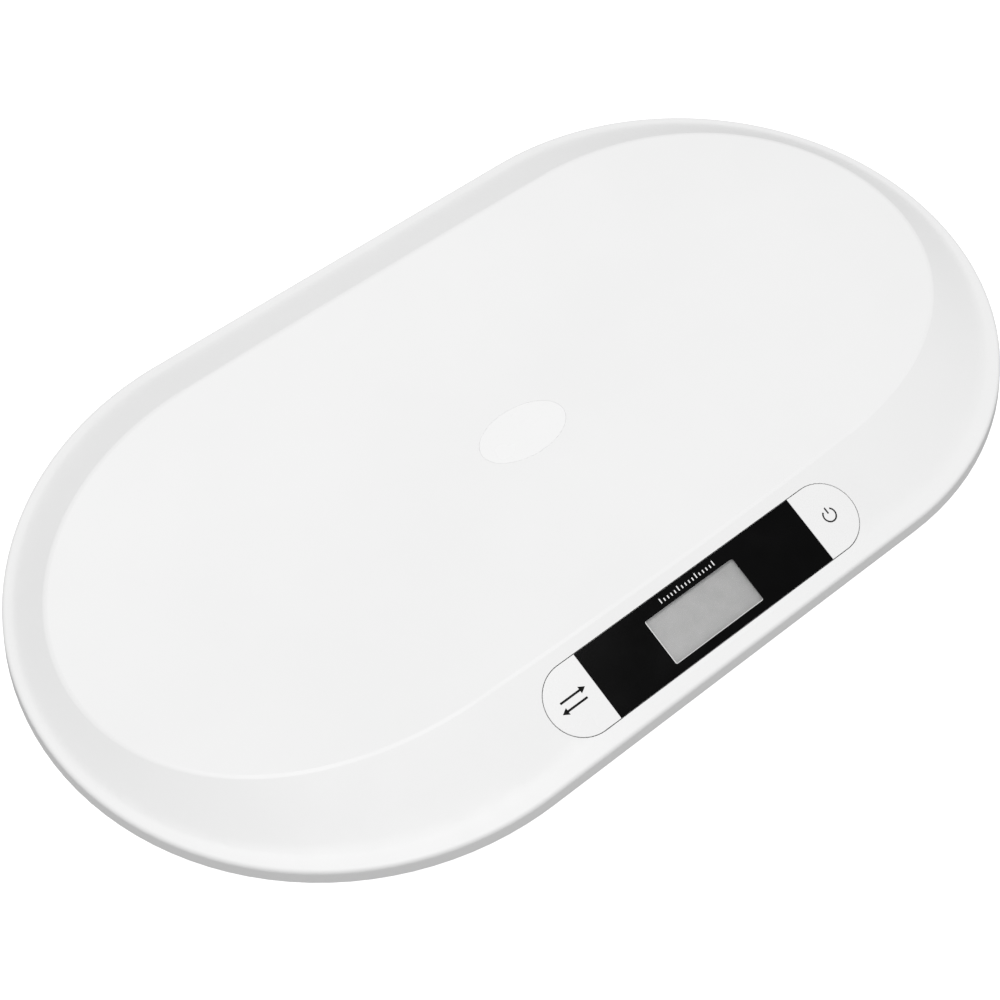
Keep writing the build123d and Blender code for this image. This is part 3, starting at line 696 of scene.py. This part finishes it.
# %% Four batteries
sleeve_edge, button_radius, button_height = 0.5 * mm, 1.9 * mm, 0.8 * mm
dent_radius, ring_inner, ring_outer, sleeve_inner = 3.3 * mm, 3.5 * mm, 4.2 * mm, 4.4 * mm
dent_depth, ring_fall, rim_cut, rim_fall = 0.15 * mm, 0.1 * mm, 0.15 * mm, 0.05 * mm
crimp_reach, crimp_depth, shoulder_radius = 0.7 * mm, 0.35 * mm, 2.3 * mm
button_round, sleeve_reach = 0.2 * mm, 0.6 * mm
band_share, battery_sides = 0.78, 64
for number in range(1, 5):
    name, way = f"battery_{number}", 1 if number % 2 == 0 else -1
    low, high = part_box(name)
    radius, length = (high.z - low.z) / 2, high.x - low.x - button_height
    outline = [
        (0, dent_depth), (dent_radius, dent_depth), (ring_inner, 0), (ring_outer, 0),
        (sleeve_inner, ring_fall), (radius - sleeve_edge, ring_fall), (radius - rim_cut, rim_cut),
        (radius, sleeve_edge), (radius, length * band_share), (radius, length - sleeve_edge),
        (radius - rim_cut, length - rim_cut), (radius - sleeve_edge, length - rim_fall),
        (radius - crimp_reach, length - crimp_depth), (shoulder_radius, length - crimp_depth),
        (button_radius, length - button_round), (button_radius, length + button_height - button_round),
        (button_radius - button_round, length + button_height), (0, length + button_height),
    ]
    bm = bmesh.new()
    turned(bm, outline, battery_sides)
    for face in bm.faces:
        spot = face.calc_center_median()
        outside = spot.to_2d().length > radius - sleeve_reach
        face.material_index = (1 if spot.z > length * band_share else 0) if outside else 2
    start = low if way > 0 else high
    place = Matrix.Translation((start.x, middle_of(name).y, middle_of(name).z))
    make_piece(bm, name + "_cell", "scale",
               [finishes["battery_wrap"], battery_band, battery_can],
               place @ Matrix.Rotation(way * pi / 2, 4, "Y"), [name])

# %% [markdown]
# ## Battery door grip
# The door has a thumb scoop. Next to it a real door has low ridges that stop the thumb from
# slipping, and a small arrow that shows which way it opens. Each ridge is a rounded bar sunk halfway
# into the door's face.

# %% Door ridges and arrow
ridge_count, ridge_pitch, ridge_inset, ridge_round = 5, 2.2 * mm, 14 * mm, 0.3 * mm
ridge_length, ridge_width, ridge_rise = 18 * mm, 1.0 * mm, 0.35 * mm
low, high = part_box("battery_door")
door_face = Vector((0, high.y, low.z))
bm = bmesh.new()
for number in range(ridge_count):
    add_box(bm, ridge_length, ridge_width, 2 * ridge_rise, y=-ridge_inset - number * ridge_pitch)
tops = [edge for edge in bm.edges if max(vert.co.z for vert in edge.verts) < 0]
round_edges(bm, tops, ridge_round, 3)
make_piece(bm, "door_ridges", "battery_door", [finishes["base_white"]],
           Matrix.Translation(door_face))

arrow_radius, arrow_rise, arrow_inset, arrow_round = 3.2 * mm, 0.3 * mm, 29 * mm, 0.15 * mm
bm = bmesh.new()
add_arrow_head(bm, arrow_radius, 2 * arrow_rise, Matrix.Translation((0, -arrow_inset, -arrow_rise)))
tops = [edge for edge in bm.edges if max(vert.co.z for vert in edge.verts) < 0]
round_edges(bm, tops, arrow_round, 2)
make_piece(bm, "door_arrow", "battery_door", [finishes["base_white"]],
           Matrix.Translation(door_face))

# %% [markdown]
# ## The white floor
# The floor is a pale matt sheet. It glows for the camera alone, so it stays an even white without
# throwing more light up at the skirt. Turning the scale over would be the honest way to show its
# feet and battery door, but it has to stay where it is, so the sheet is clear to a camera below it
# and lets the lamp below shine through.

# %% Floor finish
floor_finish, tree, shader = new_finish("floor_pale", Roughness=0.9, Specular_IOR_Level=0.1)
paper_dark, paper_pale = (0.33, 0.33, 0.33, 1), (0.35, 0.35, 0.35, 1)
place = add_node(tree, "TexCoord").outputs["Object"]
paper = add_node(tree, "TexNoise", [("Vector", place)], Scale=40.0, Detail=4.0)
tree.links.new(mix_colours(tree, paper.outputs["Fac"], paper_dark, paper_pale), shader.inputs["Base Color"])
glow = add_node(tree, "Emission", Strength=1.0)
rays = add_node(tree, "LightPath")
dark = add_node(tree, "Emission", Strength=0.0)
glow_choice = add_node(tree, "MixShader", [(0, rays.outputs["Is Camera Ray"]), (1, dark.outputs[0]),
                                           (2, glow.outputs[0])])
sheet = add_node(tree, "AddShader", [(0, shader.outputs[0]), (1, glow_choice.outputs[0])])
underneath = add_node(tree, "NewGeometry").outputs["Backfacing"]
seen_from_below = math_node(tree, "MULTIPLY", rays.outputs["Is Camera Ray"], underneath)
open_ray = math_node(tree, "MAXIMUM", rays.outputs["Is Shadow Ray"], seen_from_below)
gap = add_node(tree, "BsdfTransparent")
total = add_node(tree, "MixShader", [(0, open_ray), (1, sheet.outputs[0]), (2, gap.outputs[0])])
tree.links.new(total.outputs[0], tree.nodes["Material Output"].inputs["Surface"])
floor_mesh.materials.append(floor_finish)
print("floor finished")
